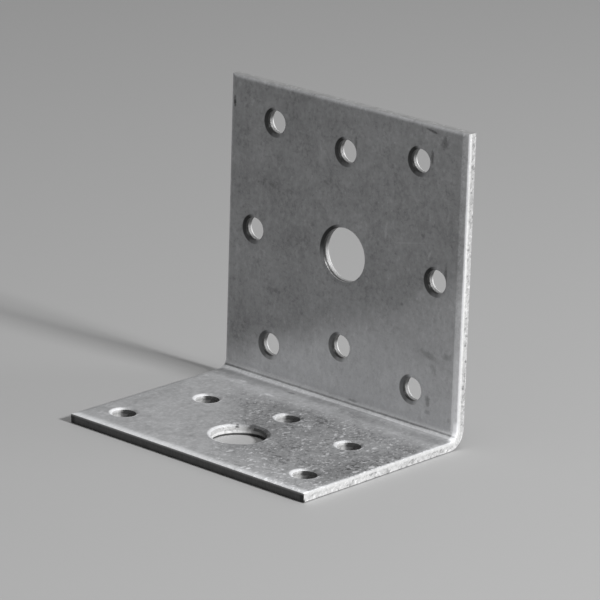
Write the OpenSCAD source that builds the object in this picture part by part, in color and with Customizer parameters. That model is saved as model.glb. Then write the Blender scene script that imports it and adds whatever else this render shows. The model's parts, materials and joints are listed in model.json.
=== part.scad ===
// Corner brace bracket: a strip of galvanised sheet steel, punched with nail
// holes and bolt holes and folded once into a right angle.
// Millimetres. X runs along the fold, the base leg points to -Y and the
// upright leg to +Z. The origin is the centre of the base bolt hole, on the
// underside, where the bracket meets what it is bolted to.

/* [Sheet] */
// Thickness of the sheet, zinc included
sheet_t = 2; // [1.2:0.1:3]
// Width of the bracket, along the fold
width = 60; // [54:1:100]
// Height of the upright leg, from the underside
upright_h = 61; // [52:1:100]
// Length of the base leg, from the back face
base_len = 44; // [41:1:80]
// Radius on the inside of the fold
fold_r = 1.5; // [0.5:0.1:3]

/* [Holes] */
// Diameter of the nail holes
nail_d = 4.5; // [3:0.1:5.5]
// Diameter of the two bolt holes
bolt_d = 10.5; // [6:0.1:12]

/* [Upright leg pattern] */
// Lower row of corner nail holes, height above the underside
lower_row_z = 9; // [8:0.1:11]
// Upper row of corner nail holes, distance below the leg's top
upper_row_inset = 7.5; // [5:0.1:9]
// Lower middle nail hole, height above the lower row
lower_mid_rise = 4; // [0:0.1:6]
// Upper middle nail hole, depth below the upper row
upper_mid_drop = 2; // [0:0.1:5]

/* [Base leg pattern] */
// Middle nail hole beside the fold, distance from the back face
near_mid_y = 16; // [12:0.1:17]
// Pair of nail holes beside the fold, distance from the back face
near_pair_y = 19; // [12:0.1:22]
// Bolt hole, distance from the back face
base_bolt_y = 29.5; // [28:0.1:31]
// Outer pair of nail holes, distance in from the leg's end
far_pair_inset = 7.5; // [5:0.1:10]

/* [Spacing along the fold] */
// Corner and near pairs, distance in from the bracket's side edges
pair_inset = 11.75; // [8:0.05:13]
// Side and outer pairs, distance in from the bracket's side edges
side_inset = 6.75; // [5:0.05:8]

/* [Punched and sheared edges] */
// Width of the rounded rim that the punch draws down round a hole
rim_w = 0.9; // [0.3:0.05:1.2]
// Depth of that rim at the wall of the hole
rim_depth = 0.3; // [0.1:0.05:0.5]
// Width of the rounding that slitting leaves along the two side edges
edge_w = 1.6; // [0.3:0.1:2]
// Width of the rounding that the shear leaves along the two free ends
end_w = 0.9; // [0.3:0.1:2]
// Depth of both roundings at the cut face
edge_depth = 0.3; // [0.1:0.05:0.5]

/* [Hidden] */
$fn = 96;

// Overshoot of a cutting shape past the face that it cuts
past = 0.5;

// Outside of the fold, so that the sheet keeps its thickness round the bend
fold_outer_r = fold_r + sheet_t;

// Places along the fold, each side of the middle
pair_x = width / 2 - pair_inset;
side_x = width / 2 - side_inset;

// Heights on the upright leg
upper_row_z = upright_h - upper_row_inset;
lower_mid_z = lower_row_z + lower_mid_rise;
upper_mid_z = upper_row_z - upper_mid_drop;
upright_bolt_z = (lower_row_z + upper_row_z) / 2;

// Distance of the outer pair from the back face
far_pair_y = base_len - far_pair_inset;

// Radius of an arc that starts level with a face and has dropped by depth
// after the given width
function roll_r(w, depth) = (w * w + depth * depth) / (2 * depth);

// Section of what is missing at a rounded corner: the metal fills x < 0 and
// y < 0, its face is y = 0 and its cut edge is x = 0
module roll_section(w, depth) {
    difference() {
        translate([-w, -depth])
            square([w + past, depth + past]);
        translate([-w, -roll_r(w, depth)])
            circle(r = roll_r(w, depth));
    }
}

// Section of the folded sheet in Y and Z, from the back face and underside
module sheet_section() {
    leg_y = base_len - fold_outer_r;
    leg_z = upright_h - fold_outer_r;
    translate([-base_len, 0])
        square([leg_y, sheet_t]);
    translate([-sheet_t, fold_outer_r])
        square([sheet_t, leg_z]);
    translate([-fold_outer_r, fold_outer_r])
        intersection() {
            difference() {
                circle(r = fold_outer_r);
                circle(r = fold_r);
            }
            translate([0, -fold_outer_r])
                square(fold_outer_r);
        }
}

// The same section with its two free ends rounded on the inner face
module rolled_section() {
    difference() {
        sheet_section();
        translate([-base_len, sheet_t])
            mirror([1, 0])
                roll_section(end_w, edge_depth);
        translate([-sheet_t, upright_h])
            rotate(90)
                roll_section(end_w, edge_depth);
    }
}

// Rounding along one side edge of both legs and through the fold, on +X
module side_roll() {
    leg_y = base_len - fold_outer_r;
    leg_z = upright_h - fold_outer_r;
    // Base leg
    translate([width / 2, -fold_outer_r, sheet_t])
        rotate([90, 0, 0])
            linear_extrude(leg_y + past)
                roll_section(edge_w, edge_depth);
    // Upright leg
    translate([width / 2, -sheet_t, fold_outer_r])
        linear_extrude(leg_z + past)
            mirror([0, 1])
                roll_section(edge_w, edge_depth);
    // Fold
    translate([0, -fold_outer_r, fold_outer_r])
        rotate([0, 90, 0])
            rotate_extrude(angle = 90)
                translate([fold_r, width / 2])
                    rotate(90)
                        roll_section(edge_w, edge_depth);
}

// A punched hole through a sheet that lies under z = 0, rim upwards
module punched_hole(d) {
    translate([0, 0, -sheet_t - past])
        cylinder(d = d, h = sheet_t + 2 * past);
    rotate_extrude()
        translate([d / 2, 0])
            mirror([1, 0])
                roll_section(rim_w, rim_depth);
}

// A punched hole in the base leg, at y from the back face
module base_hole(x, y, d) {
    translate([x, -y, sheet_t])
        punched_hole(d);
}

// A punched hole in the upright leg, at height z
module upright_hole(x, z, d) {
    translate([x, -sheet_t, z])
        rotate([90, 0, 0])
            punched_hole(d);
}

module base_holes() {
    base_hole(0, near_mid_y, nail_d);
    base_hole(0, base_bolt_y, bolt_d);
    for (side = [-1, 1]) {
        base_hole(side * pair_x, near_pair_y, nail_d);
        base_hole(side * side_x, far_pair_y, nail_d);
    }
}

module upright_holes() {
    upright_hole(0, upright_bolt_z, bolt_d);
    for (z = [lower_mid_z, upper_mid_z])
        upright_hole(0, z, nail_d);
    for (side = [-1, 1]) {
        upright_hole(side * side_x, upright_bolt_z, nail_d);
        for (z = [lower_row_z, upper_row_z])
            upright_hole(side * pair_x, z, nail_d);
    }
}

module bracket() {
    color([0.62, 0.63, 0.64])
        translate([0, base_bolt_y, 0])
            difference() {
                translate([-width / 2, 0, 0])
                    rotate([90, 0, 90])
                        linear_extrude(width)
                            rolled_section();
                side_roll();
                mirror([1, 0, 0])
                    side_roll();
                base_holes();
                upright_holes();
            }
}

bracket();
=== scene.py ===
import json
from math import cos, pi, radians, sin

import bmesh
import bpy
from mathutils import Matrix, Vector

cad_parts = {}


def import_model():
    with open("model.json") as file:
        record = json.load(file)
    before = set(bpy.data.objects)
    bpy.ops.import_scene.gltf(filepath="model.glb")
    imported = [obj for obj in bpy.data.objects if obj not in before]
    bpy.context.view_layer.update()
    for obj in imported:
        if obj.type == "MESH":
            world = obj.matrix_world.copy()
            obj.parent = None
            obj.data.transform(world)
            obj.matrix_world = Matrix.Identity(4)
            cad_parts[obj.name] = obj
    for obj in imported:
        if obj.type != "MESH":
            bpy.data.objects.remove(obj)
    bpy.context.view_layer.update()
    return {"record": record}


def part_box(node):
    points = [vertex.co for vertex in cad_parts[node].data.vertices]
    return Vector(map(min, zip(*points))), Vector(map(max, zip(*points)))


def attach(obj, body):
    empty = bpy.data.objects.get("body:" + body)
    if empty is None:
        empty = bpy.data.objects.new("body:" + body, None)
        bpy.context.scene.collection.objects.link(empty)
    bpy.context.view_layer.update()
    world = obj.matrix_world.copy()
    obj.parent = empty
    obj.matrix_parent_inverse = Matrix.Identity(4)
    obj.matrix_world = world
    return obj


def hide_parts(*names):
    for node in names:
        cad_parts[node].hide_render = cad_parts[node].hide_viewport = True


# One folded bracket of galvanised sheet. The sheet is made as a maker makes it:
# a flat blank, punched and sheared from its inner face, then folded once.
# Geometry Nodes punch the blank and fold it; the materials read the place that
# each point had on the flat blank, so that their marks follow the sheet.
# On the blank, x runs across and s runs from the base's free end to the top of
# the upright. The inner face is at z = 0 and the metal lies below it.

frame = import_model()
low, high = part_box("bracket")

# Millimetres, as the sheet's maker would give them
MM = 0.001

# Driving sizes of the sheet. The outside comes from the frame.
WIDTH = (high.x - low.x) / MM
BASE_END = low.y / MM
BACK = high.y / MM
TOP = high.z / MM
SHEET = 2.0
FOLD_INNER = 1.5
FOLD_OUTER = FOLD_INNER + SHEET

# How long each zone of the blank is, and where it starts
BASE_LENGTH = BACK - FOLD_OUTER - BASE_END
FOLD_LENGTH = (FOLD_INNER + SHEET / 2) * pi / 2
UPRIGHT_LENGTH = TOP - FOLD_OUTER
UPRIGHT_START = BASE_LENGTH + FOLD_LENGTH
BLANK_LENGTH = UPRIGHT_START + UPRIGHT_LENGTH

# Section that punch and shear leave, from the inner face down
HOLE_ROLL_WIDTH = 0.9
END_ROLL_WIDTH = 0.9
SIDE_ROLL_WIDTH = 1.6
ROLL_DEPTH = 0.3
HOLE_BURNISH = 0.95
EDGE_BURNISH = 0.8
HOLE_TAPER = 0.1
EDGE_TAPER = 0.05
BREAK_ROUGHNESS = 0.05
CORNER = 0.05
SUPPORT = 0.3

# Points nearer than this many millimetres are merged
WELD = 0.01

# Edges with a turn of more than this many degrees stay sharp
SHARP_ANGLE = 38

# Camera at the photograph's viewing angle, in millimetres and degrees
AZIMUTH = 42.2635
ELEVATION = 17.3811
ROLL = 1.7293
DISTANCE = 764.9
LENS = 247.5
TARGET = (5.772, 9.5, 27.51)

# Lamps: direction from the bracket, distance and size in metres, and watts
LAMPS = {
    "key": ((0.87, 0.05, 0.5), 1.1, 0.16, 16.0),
    "top": ((0.1, 0.0, 1.0), 1.2, 0.5, 3.2),
    "back": ((0.6, 0.6, 0.53), 1.1, 0.4, 1.2),
}
LAMP_TARGET = (0.0, 0.01, 0.02)
WORLD_STRENGTH = 0.24

# Floor, in metres, just below the bracket so that the two don't share a plane
FLOOR_RADIUS = 4.0
FLOOR_DROP = 0.0001
FLOOR_GREY = 0.36


class Field:
    """A value that a node tree works out, so that sums can be written as sums."""

    def __init__(self, tree, socket):
        self.tree = tree
        self.socket = socket

    def math(self, operation, *others, clamp=False):
        node = self.tree.nodes.new("ShaderNodeMath")
        node.operation = operation
        node.use_clamp = clamp
        for slot, value in zip(node.inputs, (self, *others)):
            connect(self.tree, slot, value)
        return Field(self.tree, node.outputs[0])

    def __add__(self, other):
        return self.math("ADD", other)

    def __sub__(self, other):
        return self.math("SUBTRACT", other)

    def __mul__(self, other):
        return self.math("MULTIPLY", other)

    def __truediv__(self, other):
        return self.math("DIVIDE", other)

    def __rtruediv__(self, other):
        return self.math("POWER", -1.0).math("MULTIPLY", other)

    def __neg__(self):
        return self.math("MULTIPLY", -1.0)

    def __rsub__(self, other):
        return (-self).math("ADD", other)

    __radd__ = __add__
    __rmul__ = __mul__

    def clamp(self):
        return self.math("ADD", 0.0, clamp=True)

    def abs(self):
        return self.math("ABSOLUTE")

    def min(self, other):
        return self.math("MINIMUM", other)

    def max(self, other):
        return self.math("MAXIMUM", other)

    def step(self, start, end):
        """0 at start and 1 at end, smooth between them; end may be the lower one."""
        node = self.tree.nodes.new("ShaderNodeMapRange")
        node.interpolation_type = "SMOOTHSTEP"
        connect(self.tree, node.inputs["Value"], self)
        connect(self.tree, node.inputs["From Min"], start)
        connect(self.tree, node.inputs["From Max"], end)
        return Field(self.tree, node.outputs["Result"])


def connect(tree, slot, value):
    """Links a field or a socket to an input, or sets a plain value on it."""
    if isinstance(value, Field):
        value = value.socket
    if isinstance(value, bpy.types.NodeSocket):
        tree.links.new(value, slot)
    else:
        slot.default_value = value


def add(tree, kind, inputs=None, **settings):
    """Adds a node with its settings and inputs; an input is named or numbered."""
    node = tree.nodes.new(kind)
    for name, value in settings.items():
        setattr(node, name, value)
    for name, value in (inputs or {}).items():
        connect(tree, node.inputs[name], value)
    return node


def vector(tree, x=0.0, y=0.0, z=0.0):
    return add(tree, "ShaderNodeCombineXYZ", {"X": x, "Y": y, "Z": z}).outputs[0]


def parts(tree, source):
    """The three numbers of a vector, as fields."""
    node = add(tree, "ShaderNodeSeparateXYZ", {0: source})
    return [Field(tree, out) for out in node.outputs]


def vector_math(tree, operation, *values):
    node = tree.nodes.new("ShaderNodeVectorMath")
    node.operation = operation
    slots = [s for s in node.inputs if s.enabled]
    for slot, value in zip(slots, values):
        connect(tree, slot, value)
    return next(out for out in node.outputs if out.enabled)


def mixed(first, second, share):
    return first + (second - first) * share


def new_group(name, kind, inputs, outputs):
    """A node group with named inputs and outputs, its input fields and its end node."""
    tree = bpy.data.node_groups.new(name, kind)
    for label, socket, value in inputs:
        item = tree.interface.new_socket(label, in_out="INPUT", socket_type=socket)
        if value is not None:
            item.default_value = value
    for label, socket in outputs:
        tree.interface.new_socket(label, in_out="OUTPUT", socket_type=socket)
    start = tree.nodes.new("NodeGroupInput")
    end = tree.nodes.new("NodeGroupOutput")
    fields = {out.name: Field(tree, out) for out in start.outputs if out.name}
    return tree, fields, end


# Geometry Nodes of the sheet


def position(tree):
    return add(tree, "GeometryNodeInputPosition").outputs[0]


def named(tree, name, kind="FLOAT"):
    node = add(tree, "GeometryNodeInputNamedAttribute", {"Name": name}, data_type=kind)
    return next(out for out in node.outputs if out.enabled and out.name == "Attribute")


def store(tree, geometry, name, value, kind="FLOAT", domain="POINT"):
    node = add(tree, "GeometryNodeStoreNamedAttribute", data_type=kind, domain=domain)
    connect(tree, node.inputs["Geometry"], geometry)
    node.inputs["Name"].default_value = name
    slot = next(s for s in node.inputs if s.enabled and s.name == "Value")
    connect(tree, slot, value)
    return node.outputs[0]


def place_at(tree, geometry, spot):
    inputs = {"Geometry": geometry, "Position": spot}
    return add(tree, "GeometryNodeSetPosition", inputs).outputs[0]


def move_by(tree, geometry, offset):
    inputs = {"Geometry": geometry, "Offset": offset}
    return add(tree, "GeometryNodeSetPosition", inputs).outputs[0]


def welded(tree, meshes):
    """Joins meshes and merges the points that meet."""
    joined = add(tree, "GeometryNodeJoinGeometry")
    for mesh in meshes:
        tree.links.new(mesh, joined.inputs[0])
    inputs = {"Geometry": joined.outputs[0], "Distance": WELD * MM}
    return add(tree, "GeometryNodeMergeByDistance", inputs).outputs[0]


def open_edges(tree):
    """1 on an edge that has one face only."""
    sides = Field(tree, add(tree, "GeometryNodeInputMeshEdgeNeighbors").outputs[0])
    return sides.math("LESS_THAN", 1.5)


def cut_section():
    """What a punch or shear leaves on a cut, swept along a curve on the inner face.

    From the face down: rounded roll, smooth burnished wall, then the rough break
    where the metal tore. Into Metal points from the cut into the metal that stays.
    """
    length = "NodeSocketFloat"
    tree, given, end = new_group(
        "Punched and sheared section",
        "GeometryNodeTree",
        [
            ("Curve", "NodeSocketGeometry", None),
            ("Into Metal", "NodeSocketVector", None),
            ("Sheet", length, SHEET * MM),
            ("Roll Width", length, HOLE_ROLL_WIDTH * MM),
            ("Roll Depth", length, ROLL_DEPTH * MM),
            ("Burnish Depth", length, HOLE_BURNISH * MM),
            ("Break Taper", length, HOLE_TAPER * MM),
            ("Break Roughness", length, BREAK_ROUGHNESS * MM),
            ("Support", length, SUPPORT * MM),
        ],
        [("Mesh", "NodeSocketGeometry")],
    )
    roll_rows = 6
    burnish_rows = 2
    break_rows = 6
    wall_start = 1 + roll_rows
    break_start = wall_start + burnish_rows
    last = break_start + break_rows
    row = Field(tree, add(tree, "GeometryNodeInputIndex").outputs[0])
    rolled = ((row - 1.0) / roll_rows).clamp()
    on_wall = (row - wall_start).clamp()
    burnish = ((row - wall_start) / burnish_rows).clamp()
    torn = ((row - break_start) / break_rows).clamp()

    # The roll is an arc that leaves the face level; a small corner ends it at the wall
    width = given["Roll Width"]
    drop = given["Roll Depth"]
    arc = (width * width + drop * drop) / (drop * 2.0)
    run = width * rolled
    depth = arc - (arc * arc - run * run).math("SQRT")
    depth = depth + (given["Burnish Depth"] - drop) * burnish
    depth = depth + (given["Sheet"] - given["Burnish Depth"]) * torn
    inset = width - run + given["Break Taper"] * torn
    inset = inset + (CORNER * MM) * rolled * (1.0 - on_wall)
    flat = (1.0 - row.clamp()) + (row - last).clamp()
    inset = inset + given["Support"] * flat
    line = add(tree, "GeometryNodeMeshLine", {"Count": last + 2}).outputs[0]
    rows = place_at(tree, line, vector(tree, y=depth))
    rows = store(tree, rows, "inset", inset)
    rows = store(tree, rows, "torn", torn * (1.0 - flat))
    profile = add(tree, "GeometryNodeMeshToCurve", {"Mesh": rows}).outputs[0]
    rail = store(tree, given["Curve"], "into_metal", given["Into Metal"], "FLOAT_VECTOR")
    swept = add(
        tree, "GeometryNodeCurveToMesh", {"Curve": rail, "Profile Curve": profile}
    ).outputs[0]

    # The break is uneven: its start wanders, and its surface is rough.
    # The scales are in grains to the metre.
    place = position(tree)
    coarse = add(tree, "ShaderNodeTexNoise", {"Vector": place, "Scale": 1300.0, "Detail": 2.0})
    fine = add(tree, "ShaderNodeTexNoise", {"Vector": place, "Scale": 3400.0, "Detail": 1.0})
    coarse = Field(tree, coarse.outputs[0])
    fine = Field(tree, fine.outputs[0])
    rough = coarse * 1.2 + fine * 0.6 - 0.5
    torn_here = Field(tree, named(tree, "torn"))
    middle = torn_here * (1.0 - torn_here) * 4.0
    push = Field(tree, named(tree, "inset"))
    push = push + given["Break Roughness"] * rough.max(0.0) * (torn_here * 6.0).clamp()
    away = vector_math(tree, "SCALE", named(tree, "into_metal", "FLOAT_VECTOR"), push)
    wander = (coarse - 0.5) * middle * (0.3 * MM)
    offset = vector_math(tree, "ADD", away, vector(tree, z=wander))
    connect(tree, end.inputs["Mesh"], move_by(tree, swept, offset))
    return tree


def blank_grid(tree, given, base, fold, fold_end_row):
    """The flat blank as a grid, whose rows are spread over its three zones."""
    row_total = fold_end_row + given["Upright Rows"]
    grid = add(
        tree,
        "GeometryNodeMeshGrid",
        {
            "Size X": given["Width"],
            "Size Y": 1.0,
            "Vertices X": given["Columns"] + 1.0,
            "Vertices Y": row_total + 1.0,
        },
    ).outputs[0]
    x, up, _ = parts(tree, position(tree))
    row = ((up + 0.5) * row_total).math("ROUND")
    in_base = (row / given["Base Rows"]).clamp()
    in_fold = ((row - given["Base Rows"]) / given["Fold Rows"]).clamp()
    in_upright = ((row - fold_end_row) / given["Upright Rows"]).clamp()
    s = base * in_base + fold * in_fold + given["Upright Length"] * in_upright
    grid = store(tree, grid, "row", row)
    return place_at(tree, grid, vector(tree, x, s))


def way_into_metal(tree, given, base, upright_start):
    """Which way the metal lies from each point of the blank's outline.

    The corners are mitred, and the way is longer at the sides, whose roll is
    wider than that of the free ends.
    """
    spread = given["Side Roll Width"] / given["End Roll Width"]
    x, s, _ = parts(tree, position(tree))
    near_front = (1.0 - s / base).clamp()
    near_top = ((s - upright_start) / given["Upright Length"]).clamp()
    across = x / (given["Width"] * 0.5) * spread * -1.0
    return vector(tree, across, near_front - near_top)


def sheared_outline(tree, given, grid, inward, section):
    """The cut all round the blank."""
    outline = add(
        tree, "GeometryNodeMeshToCurve", {"Mesh": grid, "Selection": open_edges(tree)}
    ).outputs[0]
    return add(
        tree,
        "GeometryNodeGroup",
        {
            "Curve": outline,
            "Into Metal": inward,
            "Sheet": given["Sheet"],
            "Roll Width": given["End Roll Width"],
            "Roll Depth": given["Roll Depth"],
            "Burnish Depth": EDGE_BURNISH * MM,
            "Break Taper": EDGE_TAPER * MM,
        },
        node_tree=section,
    ).outputs[0]


def punched_holes(tree, given, section):
    """The cut round every hole centre, as wide as the centre's own bore."""
    circle = add(
        tree,
        "GeometryNodeCurvePrimitiveCircle",
        {"Resolution": given["Hole Points"], "Radius": 1.0},
    ).outputs[0]
    bore = named(tree, "bore")
    rings = add(
        tree,
        "GeometryNodeInstanceOnPoints",
        {"Points": given["Hole Centres"], "Instance": circle, "Scale": bore},
    ).outputs[0]
    rings = add(tree, "GeometryNodeRealizeInstances", {"Geometry": rings}).outputs[0]
    outward = add(tree, "GeometryNodeInputNormal").outputs[0]
    from_centre = vector_math(tree, "SCALE", outward, bore)
    rings = store(tree, rings, "hole_side", from_centre, "FLOAT_VECTOR")
    return add(
        tree,
        "GeometryNodeGroup",
        {
            "Curve": rings,
            "Into Metal": outward,
            "Sheet": given["Sheet"],
            "Roll Width": given["Hole Roll Width"],
            "Roll Depth": given["Roll Depth"],
        },
        node_tree=section,
    ).outputs[0]


def fold_faces(tree, given, grid, inward, fold_end_row):
    """The grid's rows in the fold, on its inner and its outer face."""
    row = Field(tree, named(tree, "row"))
    before_fold = row.math("LESS_THAN", given["Base Rows"] + 0.25)
    past_fold = row.math("GREATER_THAN", fold_end_row - 0.25)
    kept = add(
        tree,
        "GeometryNodeDeleteGeometry",
        {"Geometry": grid, "Selection": (before_fold + past_fold).clamp()},
        domain="FACE",
        mode="ALL",
    ).outputs[0]
    inner = vector_math(tree, "SCALE", inward, given["End Roll Width"] + SUPPORT * MM)
    outer = vector_math(tree, "SCALE", inward, (EDGE_TAPER + SUPPORT) * MM)
    outer = vector_math(tree, "ADD", outer, vector(tree, z=given["Sheet"] * -1.0))
    return [move_by(tree, kept, offset) for offset in (inner, outer)]


def filled_face(tree, mesh, inner, sheet):
    """The open edges of a mesh on its inner or outer face, filled at z = 0."""
    height = parts(tree, position(tree))[2]
    above = height.math("GREATER_THAN", sheet * -0.5)
    on_face = above if inner else 1.0 - above
    loops = add(
        tree,
        "GeometryNodeMeshToCurve",
        {"Mesh": mesh, "Selection": open_edges(tree) * on_face},
    ).outputs[0]
    return add(tree, "GeometryNodeFillCurve", {"Curve": loops}, mode="TRIANGLES").outputs[0]


def folded_up(tree, given, solid, base, fold, upright_start):
    """Folds the blank up round the middle of the inside radius."""
    x, s, z = parts(tree, position(tree))
    turn = ((s - base) / fold).clamp() * (pi / 2)
    reach = given["Fold Radius"] - z
    behind = (s - base).min(0.0)
    beyond = (s - upright_start).max(0.0)
    y = given["Base End"] + base + behind + reach * turn.math("SINE")
    height = given["Fold Radius"] + given["Sheet"] - reach * turn.math("COSINE") + beyond
    return place_at(tree, solid, vector(tree, x, y, height))


def bracket_tree():
    """The whole bracket from its hole centres, which are points on the flat blank."""
    length = "NodeSocketFloat"
    tree, given, end = new_group(
        "Folded bracket",
        "GeometryNodeTree",
        [
            ("Hole Centres", "NodeSocketGeometry", None),
            ("Width", length, WIDTH * MM),
            ("Base Length", length, BASE_LENGTH * MM),
            ("Upright Length", length, UPRIGHT_LENGTH * MM),
            ("Sheet", length, SHEET * MM),
            ("Fold Radius", length, FOLD_INNER * MM),
            ("Base End", length, BASE_END * MM),
            ("Hole Roll Width", length, HOLE_ROLL_WIDTH * MM),
            ("End Roll Width", length, END_ROLL_WIDTH * MM),
            ("Side Roll Width", length, SIDE_ROLL_WIDTH * MM),
            ("Roll Depth", length, ROLL_DEPTH * MM),
            ("Columns", "NodeSocketInt", 220),
            ("Base Rows", "NodeSocketInt", 150),
            ("Fold Rows", "NodeSocketInt", 16),
            ("Upright Rows", "NodeSocketInt", 210),
            ("Hole Points", "NodeSocketInt", 96),
            ("Face Material", "NodeSocketMaterial", None),
            ("Cut Material", "NodeSocketMaterial", None),
        ],
        [("Mesh", "NodeSocketGeometry")],
    )
    sheet = given["Sheet"]
    base = given["Base Length"]
    fold = (given["Fold Radius"] + sheet * 0.5) * (pi / 2)
    upright_start = base + fold
    fold_end_row = given["Base Rows"] + given["Fold Rows"]
    section = cut_section()

    # All cuts and the fold's own rows, then the flat faces between them
    grid = blank_grid(tree, given, base, fold, fold_end_row)
    inward = way_into_metal(tree, given, base, upright_start)
    sheared = sheared_outline(tree, given, grid, inward, section)
    punched = punched_holes(tree, given, section)
    in_fold = fold_faces(tree, given, grid, inward, fold_end_row)
    shell = welded(tree, [sheared, punched, *in_fold])
    inner_face = filled_face(tree, shell, True, sheet)
    outer_face = filled_face(tree, shell, False, sheet)
    outer_face = move_by(tree, outer_face, vector(tree, z=sheet * -1.0))
    solid = welded(tree, [shell, inner_face, outer_face])

    # Steep faces of the blank are cut metal, and level ones are zinc
    upness = parts(tree, add(tree, "GeometryNodeInputNormal").outputs[0])[2].abs()
    solid = store(tree, solid, "is_cut", upness.math("LESS_THAN", 0.5), domain="FACE")
    solid = store(tree, solid, "blank", position(tree), "FLOAT_VECTOR")
    folded = folded_up(tree, given, solid, base, fold, upright_start)
    folded = add(tree, "GeometryNodeSetShadeSmooth", {"Geometry": folded}).outputs[0]
    folded = add(tree, "GeometryNodeRealizeInstances", {"Geometry": folded}).outputs[0]
    is_cut = named(tree, "is_cut")
    for chosen, material in ((True, "Face Material"), (is_cut, "Cut Material")):
        folded = add(
            tree,
            "GeometryNodeSetMaterial",
            {"Geometry": folded, "Selection": chosen, "Material": given[material]},
        ).outputs[0]
    connect(tree, end.inputs["Mesh"], folded)
    return tree


def hole_centres():
    """Every hole on the flat blank: x, distance from the base end, radius, in mm."""
    holes = []
    for mount in frame["record"]["mounts"]:
        if mount["kind"] not in ("bore", "bolt_pattern"):
            continue
        x, y, z = (value / MM for value in mount["pos_m"])
        dims = mount["dims"]
        radius = dims.get("r_mm") or dims.get("hole_r_mm")
        across = dims.get("spacing_x_mm", 0.0) / 2
        rise = dims.get("spacing_y_mm", 0.0) / 2
        on_base = abs(mount["axis"][2]) > 0.5
        for side in (-1, 1) if across else (0,):
            for end in (-1, 1) if rise else (0,):
                if on_base:
                    along = y - BASE_END
                else:
                    along = UPRIGHT_START + z + end * rise - FOLD_OUTER
                holes.append((x + side * across, along, radius))
    return holes


def finished(obj):
    """Turns the evaluated nodes into a plain mesh and takes the modifier off."""
    graph = bpy.context.evaluated_depsgraph_get()
    mesh = bpy.data.meshes.new_from_object(obj.evaluated_get(graph))
    obj.modifiers.clear()
    obj.data = mesh
    work = bmesh.new()
    work.from_mesh(mesh)
    bmesh.ops.recalc_face_normals(work, faces=work.faces)
    work.to_mesh(mesh)
    work.free()
    for name in ("row", "inset", "torn", "into_metal", "bore", "is_cut"):
        if name in mesh.attributes:
            mesh.attributes.remove(mesh.attributes[name])
    mesh.set_sharp_from_angle(angle=radians(SHARP_ANGLE))
    return obj


def bracket(face_material, cut_material):
    holes = hole_centres()
    mesh = bpy.data.meshes.new("hole_centres")
    mesh.from_pydata([(x * MM, s * MM, 0.0) for x, s, _ in holes], [], [])
    bore = mesh.attributes.new("bore", "FLOAT", "POINT")
    bore.data.foreach_set("value", [radius * MM for _, _, radius in holes])
    obj = bpy.data.objects.new("bracket_sheet", mesh)
    bpy.context.scene.collection.objects.link(obj)
    tree = bracket_tree()
    modifier = obj.modifiers.new("folded bracket", "NODES")
    modifier.node_group = tree
    names = {i.name: i.identifier for i in tree.interface.items_tree if i.in_out == "INPUT"}
    modifier[names["Face Material"]] = face_material
    modifier[names["Cut Material"]] = cut_material
    return finished(obj)


# Shader node groups that the materials share


def noise(tree, place, size, detail=2.0, roughness=0.5, seed=0.0):
    """Noise from 0 to 1, its features about size millimetres wide."""
    moved = vector_math(tree, "ADD", place, (seed, seed * 0.7, 0.0))
    node = add(
        tree,
        "ShaderNodeTexNoise",
        {"Vector": moved, "Scale": 1.0 / size, "Detail": detail, "Roughness": roughness},
    )
    return Field(tree, node.outputs[0])


def drawn_out(tree, place, along_x=1.0, along_s=1.0, along_z=1.0):
    """The same place with each direction stretched, so that what grows on it is long."""
    x, s, z = parts(tree, place)
    return vector(tree, x / along_x, s / along_s, z / along_z)


def mottle_group():
    """Soft patches and grain of a zinc coat, as a tone from -1 to 1 and as a height."""
    number = "NodeSocketFloat"
    tree, given, end = new_group(
        "Zinc mottle",
        "ShaderNodeTree",
        [("Place", "NodeSocketVector", None), ("Patches", number, 1.0), ("Grain", number, 1.0)],
        [("Tone", number), ("Height", number)],
    )
    place = given["Place"]
    rolled = drawn_out(tree, place, along_s=1.5)
    patches = noise(tree, place, 5.0, 3.0, 0.6) - 0.5
    drift = noise(tree, place, 17.0, seed=40.0) - 0.5
    runs = noise(tree, rolled, 1.0, 3.0, 0.6, 61.0) - 0.5
    grain = noise(tree, place, 0.7, 3.0, 0.65, 11.0) - 0.5
    stains = noise(tree, rolled, 2.0, 4.0, 0.65, 29.0) - 0.5
    stains = stains.abs().step(0.02, 0.16) * stains.math("SIGN")
    tone = (patches * 1.2 + drift * 1.2 + stains * 0.26) * given["Patches"]
    tone = tone + (runs * 1.4 + grain) * given["Grain"]
    waves = noise(tree, place, 2.2, seed=23.0) - 0.5
    connect(tree, end.inputs["Tone"], tone)
    connect(tree, end.inputs["Height"], waves + grain * 0.3)
    return tree


def fleck_group():
    """Uneven flecks in loose clusters, such as zinc dross or rubbed high spots."""
    number = "NodeSocketFloat"
    tree, given, end = new_group(
        "Flecks",
        "ShaderNodeTree",
        [
            ("Place", "NodeSocketVector", None),
            ("Size", number, 1.0),
            ("Threshold", number, 0.6),
            ("Cluster", number, 4.0),
            ("Seed", number, 0.0),
        ],
        [("Mask", number)],
    )
    seed = vector(tree, given["Seed"], given["Seed"])
    moved = vector_math(tree, "ADD", given["Place"], seed)
    fine = add(
        tree,
        "ShaderNodeTexNoise",
        {"Vector": moved, "Scale": 1.0 / given["Size"], "Detail": 2.0, "Roughness": 0.6},
    )
    broad = add(
        tree,
        "ShaderNodeTexNoise",
        {"Vector": moved, "Scale": 1.0 / given["Cluster"], "Detail": 1.0},
    )
    reach = Field(tree, fine.outputs[0]) + (Field(tree, broad.outputs[0]) - 0.5) * 0.35
    threshold = given["Threshold"]
    connect(tree, end.inputs["Mask"], reach.step(threshold, threshold + 0.09))
    return tree


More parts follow.
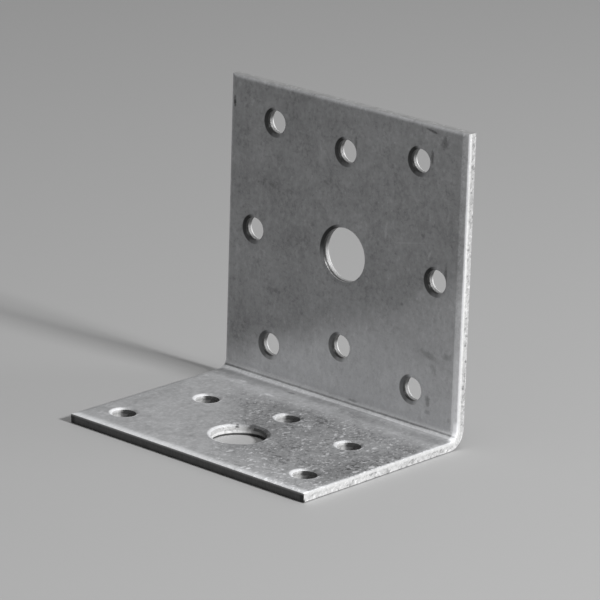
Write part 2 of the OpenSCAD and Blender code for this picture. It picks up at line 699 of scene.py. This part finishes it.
def speck_group():
    """Small specks of uneven size and outline; Cluster gathers them in places."""
    number = "NodeSocketFloat"
    tree, given, end = new_group(
        "Specks",
        "ShaderNodeTree",
        [
            ("Place", "NodeSocketVector", None),
            ("Spacing", number, 1.0),
            ("Radius", number, 0.15),
            ("Share", number, 0.5),
            ("Cluster", number, 0.0),
        ],
        [("Mask", number)],
    )
    place = given["Place"]
    cells = add(tree, "ShaderNodeTexVoronoi", {"Vector": place, "Scale": 1.0 / given["Spacing"]})
    pick = parts(tree, cells.outputs["Color"])
    distance = Field(tree, cells.outputs["Distance"]) * given["Spacing"]
    distance = distance + (noise(tree, place, 0.45) - 0.5) * given["Radius"] * 1.6
    radius = given["Radius"] * (0.3 + pick[1] * pick[1] * 1.1)
    share = given["Share"] + (noise(tree, place, 4.0, seed=19.0) - 0.5) * given["Cluster"]
    present = share.math("GREATER_THAN", pick[0])
    connect(tree, end.inputs["Mask"], distance.step(radius, radius * 0.35) * present)
    return tree


def scratch_group():
    """Hairline scratches that run one way, each with an end."""
    number = "NodeSocketFloat"
    tree, given, end = new_group(
        "Hairline scratches",
        "ShaderNodeTree",
        [
            ("Place", "NodeSocketVector", None),
            ("Angle", number, 0.3),
            ("Length", number, 8.0),
            ("Spacing", number, 3.0),
            ("Width", number, 0.07),
            ("Share", number, 0.4),
        ],
        [("Mask", number)],
    )
    turned = add(
        tree,
        "ShaderNodeVectorRotate",
        {"Vector": given["Place"], "Angle": given["Angle"]},
        rotation_type="Z_AXIS",
    )
    along, across, _ = parts(tree, turned.outputs[0])
    across = across + (noise(tree, given["Place"], 9.0, 1.0) - 0.5) * 1.6
    along = along / given["Length"]
    across = across / given["Spacing"]
    cells = add(
        tree,
        "ShaderNodeTexVoronoi",
        {"Vector": vector(tree, along, across), "Scale": 1.0},
        voronoi_dimensions="2D",
    )
    centre = parts(tree, cells.outputs["Position"])
    pick = parts(tree, cells.outputs["Color"])
    off_line = (across - centre[1]).abs() * given["Spacing"]
    off_end = (along - centre[0]).abs()
    mask = off_line.step(given["Width"], given["Width"] * 0.2) * off_end.step(0.4, 0.2)
    connect(tree, end.inputs["Mask"], mask * pick[0].math("LESS_THAN", given["Share"]))
    return tree


def rubbed_group():
    """One soft mark with a broken edge, at a place on the blank, for rubbed marks, a nick and
    painted shade.
    """
    number = "NodeSocketFloat"
    tree, given, end = new_group(
        "Rubbed mark",
        "ShaderNodeTree",
        [
            ("Place", "NodeSocketVector", None),
            ("Centre", "NodeSocketVector", None),
            ("Half Length", number, 2.0),
            ("Half Width", number, 1.0),
            ("Angle", number, 0.0),
        ],
        [("Mask", number)],
    )
    moved = vector_math(tree, "SUBTRACT", given["Place"], given["Centre"])
    turned = add(
        tree,
        "ShaderNodeVectorRotate",
        {"Vector": moved, "Angle": -given["Angle"]},
        rotation_type="Z_AXIS",
    )
    along, across, _ = parts(tree, turned.outputs[0])
    along = along / given["Half Length"]
    across = across / given["Half Width"]
    reach = (along * along + across * across).math("SQRT")
    reach = reach + (noise(tree, given["Place"], 0.7, 3.0, 0.6) - 0.5) * 1.3
    connect(tree, end.inputs["Mask"], reach.step(1.15, 0.35))
    return tree


def use(tree, group, output="Mask", **values):
    """Places a node group and gives one of its outputs as a field; inputs by name."""
    node = add(tree, "ShaderNodeGroup", node_tree=group)
    for name, value in values.items():
        connect(tree, node.inputs[name.replace("_", " ")], value)
    return Field(tree, node.outputs[output])


# What both materials of the sheet need


def plain_material(name, colour, roughness, metallic=0.0):
    material = bpy.data.materials.new(name)
    material.use_nodes = True
    shader = material.node_tree.nodes["Principled BSDF"]
    shader.inputs["Base Color"].default_value = (*colour, 1.0)
    shader.inputs["Roughness"].default_value = roughness
    shader.inputs["Metallic"].default_value = metallic
    return material


def finish_material(material, colour, tone, roughness, height):
    """Wires tone times colour, roughness and a height in millimetres to the shader."""
    tree = material.node_tree
    shader = tree.nodes["Principled BSDF"]
    shaded = vector_math(tree, "SCALE", colour, tone.max(0.03))
    tree.links.new(shaded, shader.inputs["Base Color"])
    connect(tree, shader.inputs["Roughness"], roughness)
    bump = add(tree, "ShaderNodeBump", {"Height": height, "Distance": MM, "Strength": 1.0})
    tree.links.new(bump.outputs[0], shader.inputs["Normal"])


def attribute(tree, name):
    """A stored place or direction of the sheet, in millimetres."""
    node = add(tree, "ShaderNodeAttribute", attribute_type="GEOMETRY", attribute_name=name)
    return vector_math(tree, "SCALE", node.outputs["Vector"], 1.0 / MM)


class SheetPlace:
    """Where a point of a material lies on the flat blank, in millimetres."""

    def __init__(self, tree):
        self.tree = tree
        self.place = attribute(tree, "blank")
        self.x, self.s, z = parts(tree, self.place)
        self.depth = -z
        self.inner = self.depth.math("LESS_THAN", SHEET / 2)
        self.upright = self.s.step(UPRIGHT_START - 1.0, UPRIGHT_START)
        self.base = 1.0 - self.upright
        self.from_side = WIDTH / 2 - self.x.abs()
        self.from_end = self.s.min(BLANK_LENGTH - self.s)
        self.from_edge = self.from_side.min(self.from_end)
        self.in_field = self.from_edge.step(1.8, 2.2)

        # For the rim or wall of a hole: which side of the hole, and whether it is a bolt hole
        side = attribute(tree, "hole_side")
        bore = Field(tree, vector_math(tree, "LENGTH", side))
        self.side_x, self.side_s, _ = parts(tree, vector_math(tree, "NORMALIZE", side))
        self.bolt_hole = bore.step(3.0, 4.0)
        self.hole_left = (self.side_x + self.side_s * 0.3).step(0.3, -0.3)
        self.hole_back_right = self.side_x * 0.74 + self.side_s * 0.67

        # The painted shade round the upright's lowest holes is lighter, most so above their
        # lowest part
        self.lighter_rim_shade = self.s.step(72.0, 60.0)
        self.above_bottom = self.side_s.step(-0.8, -0.2)


# Galvanised zinc, on the flat faces and the rounded edges

ZINC = (0.36, 0.363, 0.37)

# Rubbed marks and two strips of painted shade on the inner face: x, distance from the base's
# free end, half length, half width, angle from the fold's direction in degrees, and how much
# lighter or darker
RUBBED_MARKS_AND_SHADE = [
    (2.4, 93.9, 2.4, 0.40, 90, -0.476),
    (21.3, 95.8, 1.8, 0.45, 90, -0.544),
    (25.6, 74.1, 2.6, 0.45, 88, -0.51),
    (22.4, 48.6, 1.5, 0.65, 92, -0.714),
    (22.1, 57.7, 2.6, 0.85, -15, -0.442),
    (26.8, 58.3, 1.4, 0.75, 10, -0.34),
    (23.5, 55.1, 1.6, 0.70, -60, -0.374),
    (24.2, 99.1, 1.5, 1.0, 80, -0.374),
    (20.9, 100.8, 1.6, 0.28, -10, -0.595),
    (-29.0, 96.6, 1.2, 0.45, 90, -0.935),
    # Painted shade: a darker strip down the upright's left side, in two parts
    (-26.0, 80.0, 16.0, 1.8, 90, -0.085),
    (-26.0, 51.5, 8.0, 2.4, 90, -0.17),
    (-22.5, 36.6, 6.0, 1.1, 0, 0.17),
    (22.5, 46.5, 0.9, 0.55, 4, -0.612),
    (3.9, 43.9, 1.5, 0.45, 0, -0.68),
    (21.5, 76.8, 1.1, 0.30, 70, 0.306),
    (-9.6, 39.1, 1.2, 0.45, 0, -0.425),
    (-11.6, 35.1, 1.3, 0.50, 0, 0.34),
    (-20.8, 37.5, 1.2, 0.50, 0, 0.374),
    (10.6, 79.3, 2.0, 0.40, 85, 0.272),
    (16.6, 78.3, 5.0, 0.12, 12, 0.238),
    (-3.9, 18.3, 0.35, 0.45, 60, -0.714),
    (27.7, 46.1, 0.7, 0.40, 60, -0.34),
    (19.8, 80.5, 0.5, 0.45, 0, -0.34),
    (15.2, 66.0, 0.5, 0.40, 0, -0.306),
]


def speckle_zone(at):
    """Where the base is speckled, from 0 to 1: most towards its front and right."""
    zone_start = (28.5 - at.s).max(0.0) * 0.8 - 14.0
    zone_start = zone_start + (noise(at.tree, at.place, 7.0, seed=5.0) - 0.5) * 14.0
    return (at.x - zone_start).step(-7.0, 8.0) * at.s.step(37.5, 31.0)


def painted_base_reflection(at):
    """Painted reflection of the base: the inside of the upright paler low down, tallest towards
    its right side.
    """
    rise = at.s - UPRIGHT_START
    zone_end = (at.x + WIDTH / 2) * 0.47 + (noise(at.tree, at.place, 6.0, seed=53.0) - 0.5) * 4.0
    reflected_light = rise.step(zone_end + 5.5, zone_end - 4.5)
    reflected_light = reflected_light * at.s.step(BASE_LENGTH + 2.2, BASE_LENGTH + 2.7)
    return reflected_light * mixed(1.0, 0.40, rise.step(1.0, 22.0)) * at.inner


def painted_sheen_places(at):
    """Painted sheen: the base paler beside the fold on the left, and at its front left."""
    beside_fold = at.s.step(32.5, 35.5) * at.s.step(39.5, 38.0) * at.x.step(12.0, -4.0)
    front_left = at.s.step(4.5, 1.0) * at.x.step(-8.0, -16.0)
    return at.base * (beside_fold * 0.14 + front_left * 0.10)


def edge_highlights_and_wear(at, lip, ragged):
    """Worn lips all round, painted highlights at the front and right, and a speckled painted
    glow up the upright's right side.
    """
    front_highlight = at.s.step(1.9, 0.35)
    right = at.x.step(0.0, 5.0)
    low = at.s.step(78.0, 50.0)
    glow_share = mixed(ragged.step(0.35, 0.6), 1.0, low)
    # The band is painted glow, and painted shade at the very edge
    band = at.from_side.step(1.75, 1.5) * right * (0.3 + 0.7 * glow_share)
    band = band * mixed(-0.25, 0.48 + 0.40 * low, at.from_side.step(0.2, 1.5))
    side_highlight = at.from_side.step(0.42, 0.26) * right * (0.8 + ragged) * (1.0 - at.base * 0.45)
    bend_highlight = (at.s - UPRIGHT_START + 1.0).abs().step(3.4, 1.6)
    bend_highlight = bend_highlight * at.from_side.step(1.4, 0.9) * right
    return at.inner * (lip * 0.3 + front_highlight * 0.75 + band * at.upright + side_highlight + bend_highlight)


def fold_highlight_and_shade(at, ragged):
    """The fold: painted shade on the base before it, a painted highlight in it and a painted
    dark line above it.
    """
    along = at.s + (noise(at.tree, at.place, 3.0, 3.0, 0.6, 13.0) - 0.5) * 0.4
    rightward = at.x.step(-12.0, 8.0)
    line_start = mixed(BASE_LENGTH - 0.6, BASE_LENGTH + 0.35, rightward)
    painted_light = along.step(line_start, BASE_LENGTH + 1.0)
    painted_light = painted_light * along.step(BASE_LENGTH + 2.05, BASE_LENGTH + 1.65) * (0.3 + 1.4 * ragged)
    painted_light = painted_light * mixed(1.25, 0.95, rightward) * mixed(1.0, 0.6, at.x.step(12.0, 22.0))
    dark = (along - (BASE_LENGTH + 2.3)).abs().step(0.55, 0.1) * (0.5 + ragged)
    dark = dark * (at.x.step(0.0, 20.0) + at.x.step(-22.0, -28.0) + 0.12)
    crease_shade = at.s.step(BASE_LENGTH - 4.2, BASE_LENGTH - 2.6)
    crease_shade = crease_shade * at.s.step(BASE_LENGTH, BASE_LENGTH - 1.2)
    crease_shade = crease_shade * mixed(0.08, 0.22, at.x.step(-4.0, 12.0))
    return at.inner * (painted_light - dark * 0.29 - crease_shade)


def rubbed_marks_and_shade(at, group):
    """All the single marks, as one tone."""
    total = 0.0
    for x, s, half_length, half_width, angle, strength in RUBBED_MARKS_AND_SHADE:
        mark = use(
            at.tree,
            group,
            Place=at.place,
            Centre=(x, s, 0.0),
            Half_Length=half_length,
            Half_Width=half_width,
            Angle=radians(angle),
        )
        total = total + mark * strength
    return total * at.inner


def punched_rims(at, ragged):
    """Rims of the holes: painted shade on the upright's, painted shade and painted highlights on
    the base's.
    """
    rim = at.depth.step(0.0, 0.035) * at.inner * at.in_field
    on_base = rim * at.base
    nail_rim_shade = 0.7 + at.side_s.step(-1.0, -0.85) * 0.3
    bolt_rim_shade = 0.2 + at.side_s.step(-0.4, 0.25) * 0.8
    rim_shade = rim * at.upright * at.hole_left * (0.89 + at.side_s * 0.09)
    rim_shade = rim_shade * mixed(nail_rim_shade, bolt_rim_shade, at.bolt_hole)
    rim_shade = rim_shade * (1.0 - at.lighter_rim_shade * (0.09 + at.above_bottom * 0.12))
    rubbed_and_painted = on_base * at.depth.step(-0.05, 0.09) * at.hole_back_right.step(0.2, -0.5)
    far_right = at.hole_back_right.step(0.15, 0.5) * at.side_s.step(0.25, 0.55)
    right_rim_shade = on_base * at.bolt_hole * far_right * (0.2 + 0.8 * ragged)
    right_rim_light = on_base * at.side_x.step(0.4, 0.9) * (1.0 - far_right)
    painted_light = rubbed_and_painted * 1.035 + right_rim_light * mixed(1.3, 0.8, at.bolt_hole)
    return rim_shade, right_rim_shade, painted_light


def galvanised_zinc(groups):
    material = plain_material("galvanised_zinc", ZINC, 0.36, 0.2)
    tree = material.node_tree
    at = SheetPlace(tree)
    place = at.place
    upright = at.upright
    fleck = groups["fleck"]
    speck = groups["speck"]
    mottle = use(tree, groups["mottle"], "Tone", Place=place, Patches=0.8 + upright * 0.2)
    waves = use(tree, groups["mottle"], "Height", Place=place)

    # Dross and flecks, drawn out along the way that the sheet was rolled
    rolled = drawn_out(tree, place, along_s=1.7)
    flecks = use(tree, fleck, Place=rolled, Size=0.75, Threshold=0.585, Cluster=4.0)
    fine = use(tree, fleck, Place=rolled, Size=0.5, Threshold=0.595, Cluster=2.4, Seed=31.0)
    shade = use(tree, fleck, Place=place, Size=0.9, Threshold=0.56, Cluster=5.0, Seed=77.0)
    dross = use(tree, speck, Place=rolled, Spacing=1.25, Radius=0.46, Share=0.34, Cluster=1.6)
    specks = use(tree, speck, Place=place, Spacing=1.7, Radius=0.20, Share=0.22)
    pits = use(tree, speck, Place=place, Spacing=1.9, Radius=0.24, Share=0.30)
    scratch = use(
        tree, groups["scratch"], Place=place, Angle=0.35, Length=7.0, Spacing=3.4, Share=0.3
    )
    cross = use(
        tree,
        groups["scratch"],
        Place=place,
        Angle=-1.2,
        Length=4.5,
        Spacing=4.5,
        Width=0.05,
        Share=0.3,
    )

    # The speckled zone of the base is also darker; the upright has only a little of it
    zone = speckle_zone(at)
    zone_darkening = at.base * zone * at.s.step(3.0, 11.0)
    lively = at.base * (zone * 0.78 + 0.22)
    light_amount = lively * 0.62 + upright * 0.12
    dark_amount = lively * 0.28 + upright * 0.14
    tone = 1.0 + mottle * mixed(0.44, 0.37, upright) - zone_darkening * 0.31 - upright * 0.03
    tone = tone + (flecks + fine * 0.8) * light_amount - shade * dark_amount
    tone = tone + dross * lively * 0.72 - lively * at.x.step(22.0, 27.0) * 0.10
    tone = tone + specks * (0.28 + at.base * 0.12 + lively * 0.12)
    tone = tone - pits * (0.16 + lively * 0.15) + scratch * 0.10 + cross * 0.08
    # Painted reflection of the base low on the upright, and painted sheen on the base
    tone = tone + painted_base_reflection(at) + painted_sheen_places(at)

    # Wear, painted highlights and painted shade, from the noise that breaks their edges
    ragged = noise(tree, place, 0.6, 3.0, 0.7, 31.0)
    lip = at.from_edge.step(0.75, 0.2) * (0.6 + ragged * 0.8)
    tone = tone + edge_highlights_and_wear(at, lip, ragged) + fold_highlight_and_shade(at, ragged)
    tone = tone + rubbed_marks_and_shade(at, groups["rubbed_and_painted"])
    rim_shade, right_rim_shade, painted_light = punched_rims(at, ragged)
    tone = tone * (1.0 - rim_shade - right_rim_shade) + painted_light
    roughness = 0.36 + mottle * 0.08 + pits * 0.12 + rim_shade * 0.25 - lip * 0.05
    height = waves * 0.010 + (flecks + fine) * light_amount * 0.025
    height = height - pits * 0.012 - scratch * 0.004
    finish_material(material, ZINC, tone, roughness, height)
    return material


# Cut steel, on the sheared edges and the walls of the holes

STEEL = (0.6, 0.6, 0.6)

# Where a burr marks the far wall of the base's bolt hole, on the blank
NICK_PLACE = (-3.8, 3.6 - BASE_END, -0.5)


class CutGrain:
    """What makes a cut uneven: streaks down it, clouds, crumbs, dark and light spots."""

    def __init__(self, at, fleck):
        tree = at.tree
        place = at.place
        down_the_wall = drawn_out(tree, place, along_z=4.5)
        spots = {"Place": place, "Threshold": 0.56, "Cluster": 3.0}
        self.streaks = noise(tree, down_the_wall, 0.35, 3.0, 0.6) - 0.5
        self.clouds = noise(tree, place, 2.0, 3.0, 0.6, 3.0) - 0.5
        self.crumbs = noise(tree, place, 0.55, 3.0, 0.65, 17.0) - 0.5
        self.dark_spots = use(tree, fleck, Size=0.9, Seed=9.0, **spots)
        self.light_spots = use(tree, fleck, Size=0.8, Seed=47.0, **spots)


def side_edge(at, grain, torn):
    """A bright burnished line, then a pale torn face with dark and light spots."""
    torn_face = 0.98 - at.upright * 0.13 + grain.clouds * 0.6 + grain.crumbs * 0.8
    torn_face = torn_face - grain.dark_spots * 0.34 + grain.light_spots * 0.26
    burnished = 1.18 + grain.crumbs * 0.4 - at.base * 0.11
    streak = (at.s - 91.0).abs().step(9.0, 1.0) * at.x.step(0.0, 5.0)
    dulled = 1.0 - at.s.step(55.0, BLANK_LENGTH) * 0.06 - streak * 0.10
    # Painted shadow along the foot of the base's sides
    edge_foot_shadow = at.base * at.depth.step(1.86, 1.95)
    return mixed(burnished, torn_face, torn) * dulled * (1.0 - edge_foot_shadow * 0.7)


def front_edge(at, grain):
    """The base's free end: painted shade below its lip, deepest towards its foot and its
    corners.
    """
    dark = 0.15 + grain.streaks * 0.12 + grain.clouds * 0.08 - at.depth.step(1.2, 1.9) * 0.05
    dark = dark * at.from_side.step(0.2, 1.6).max(0.4)
    return mixed(0.42, dark, at.depth.step(0.35, 0.75))


def top_edge(grain):
    """The upright's free end, a dull grey."""
    return 0.58 + grain.clouds * 0.4 + grain.streaks * 0.3 + grain.light_spots * 0.15


def upright_hole_wall(at, grain):
    """Painted shade near the inner face on the left side, and painted light on the lower left
    where the steel tore.
    """
    mouth_end = 0.95 + grain.crumbs * 0.3
    mouth_shadow = at.depth.step(mouth_end + 0.1, mouth_end - 0.15) * at.hole_left
    mouth_shadow = mouth_shadow * (1.0 - at.bolt_hole * at.side_s.step(0.1, -0.5) * 0.2)
    burr = at.depth.step(0.26, 0.32) * at.depth.step(0.55, 0.42)
    burr = burr * at.bolt_hole * at.side_s.step(-0.25, -0.5)
    mouth_shadow = mouth_shadow * (1.0 - burr * (grain.crumbs + 0.5) * 1.6)
    mouth_shadow_tone = 0.09 - at.side_s * 0.04 + at.lighter_rim_shade * at.above_bottom * 0.07
    lit_lower_left = at.side_s.step(0.35, -0.3) * (0.75 + 0.25 * at.side_s.step(-1.0, -0.5))
    behind = mixed(1.42, 1.15, at.bolt_hole)
    painted_light = mixed(1.64, behind, at.depth.step(1.3, 1.6))
    return mixed(mixed(0.28, painted_light, lit_lower_left) + grain.crumbs * 0.4, mouth_shadow_tone, mouth_shadow)


def base_hole_wall(at, grain, torn, rubbed_and_painted):
    """Painted highlight on the left and painted shade on the right; painted shadow darkens the
    bolt hole's foot all round.
    """
    turn_at = mixed(-0.28, 0.35, at.bolt_hole)
    shade = (at.hole_back_right + grain.crumbs * 0.5).step(turn_at - 0.25, turn_at + 0.2)
    nail_wall = mixed(1.15, 0.85, at.depth.step(0.5, 0.9))
    painted_light = mixed(nail_wall, mixed(1.05, 1.35, torn), at.bolt_hole)
    painted_light = painted_light + grain.crumbs * 0.5 - grain.dark_spots * 0.25
    right_break = at.depth.step(0.8, 1.0) * at.bolt_hole * at.hole_back_right.step(1.0, 0.6)
    tone = mixed(painted_light, 0.12 + torn * 0.1 + right_break * 0.3, shade)
    bolt_foot_shadow_start = 1.6 - at.hole_back_right.max(0.0) * 0.35
    bolt_foot_shadow = at.bolt_hole * at.depth.step(bolt_foot_shadow_start, bolt_foot_shadow_start + 0.2)
    nick = use(
        at.tree, rubbed_and_painted, Place=at.place, Centre=NICK_PLACE, Half_Length=0.45, Half_Width=0.4
    )
    return tone * (1.0 - bolt_foot_shadow * 0.93) * (1.0 - nick * at.depth.step(0.8, 0.5) * 0.75)


def cut_steel(groups):
    material = plain_material("cut_steel", STEEL, 0.5, 0.45)
    tree = material.node_tree
    at = SheetPlace(tree)
    grain = CutGrain(at, groups["fleck"])

    # The four kinds of cut
    in_hole = at.in_field
    not_corner = at.from_side.step(0.04, 0.12)
    front = at.s.step(0.5, 0.3) * not_corner
    top = (BLANK_LENGTH - at.s).step(0.5, 0.3) * not_corner
    side = (1.0 - in_hole) * (1.0 - front) * (1.0 - top)

    # Where the burnished wall ends and the torn break starts
    wander = (noise(tree, at.place, 0.8, seed=7.0) - 0.5) * 0.3
    burnish_end = mixed(EDGE_BURNISH - 0.1, HOLE_BURNISH + 0.15, in_hole) + wander
    torn = at.depth.step(burnish_end, burnish_end + 0.12)

    hole_wall = base_hole_wall(at, grain, torn, groups["rubbed_and_painted"]) * at.base
    hole_wall = hole_wall + upright_hole_wall(at, grain) * at.upright
    tone = side_edge(at, grain, torn) * side + hole_wall * in_hole
    tone = tone + front_edge(at, grain) * front + top_edge(grain) * top
    roughness = 0.40 + torn * 0.15 + grain.crumbs * 0.2
    height = torn * (grain.crumbs + 0.5) * 0.03 + grain.streaks * 0.006
    finish_material(material, STEEL, tone, roughness, height - grain.dark_spots * 0.02)
    return material


# Camera, light and floor


def camera():
    a = radians(AZIMUTH)
    e = radians(ELEVATION)
    r = radians(ROLL)
    back = Vector((sin(a) * cos(e), -cos(a) * cos(e), sin(e)))
    level = (-back).cross(Vector((0, 0, 1))).normalized()
    rise = level.cross(-back)
    right = level * cos(r) + rise * sin(r)
    up = rise * cos(r) - level * sin(r)
    place = (Vector(TARGET) + back * DISTANCE) * MM
    data = bpy.data.cameras.new("camera")
    data.sensor_width = 36
    data.lens = LENS
    data.clip_start = 0.05
    data.clip_end = 50
    obj = bpy.data.objects.new("camera", data)
    turn = Matrix((right, up, back)).transposed().to_4x4()
    obj.matrix_world = Matrix.Translation(place) @ turn
    bpy.context.scene.collection.objects.link(obj)
    bpy.context.scene.camera = obj


def lamp(name, direction, distance, size, power):
    data = bpy.data.lights.new(name, "AREA")
    data.shape = "DISK"
    data.size = size
    data.energy = power
    obj = bpy.data.objects.new(name, data)
    towards = Vector(direction).normalized()
    obj.location = Vector(LAMP_TARGET) + towards * distance
    obj.rotation_mode = "QUATERNION"
    obj.rotation_quaternion = towards.to_track_quat("Z", "Y")
    bpy.context.scene.collection.objects.link(obj)


def floor():
    work = bmesh.new()
    bmesh.ops.create_circle(work, cap_ends=True, radius=FLOOR_RADIUS, segments=96)
    mesh = bpy.data.meshes.new("floor")
    work.to_mesh(mesh)
    work.free()
    obj = bpy.data.objects.new("floor", mesh)
    bpy.context.scene.collection.objects.link(obj)
    obj.location.z = -FLOOR_DROP
    mesh.materials.append(plain_material("pale_floor", (FLOOR_GREY,) * 3, 0.7))


def world():
    scene_world = bpy.data.worlds.new("studio")
    scene_world.use_nodes = True
    background = scene_world.node_tree.nodes["Background"]
    background.inputs["Color"].default_value = (1.0, 1.0, 1.0, 1.0)
    background.inputs["Strength"].default_value = WORLD_STRENGTH
    bpy.context.scene.world = scene_world


bpy.context.scene.view_settings.view_transform = "Standard"
camera()
floor()
world()
for lamp_name, lamp_setting in LAMPS.items():
    lamp(lamp_name, *lamp_setting)

shared = {
    "mottle": mottle_group(),
    "fleck": fleck_group(),
    "speck": speck_group(),
    "scratch": scratch_group(),
    "rubbed_and_painted": rubbed_group(),
}
sheet_piece = bracket(galvanised_zinc(shared), cut_steel(shared))
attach(sheet_piece, "root")
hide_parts("bracket")
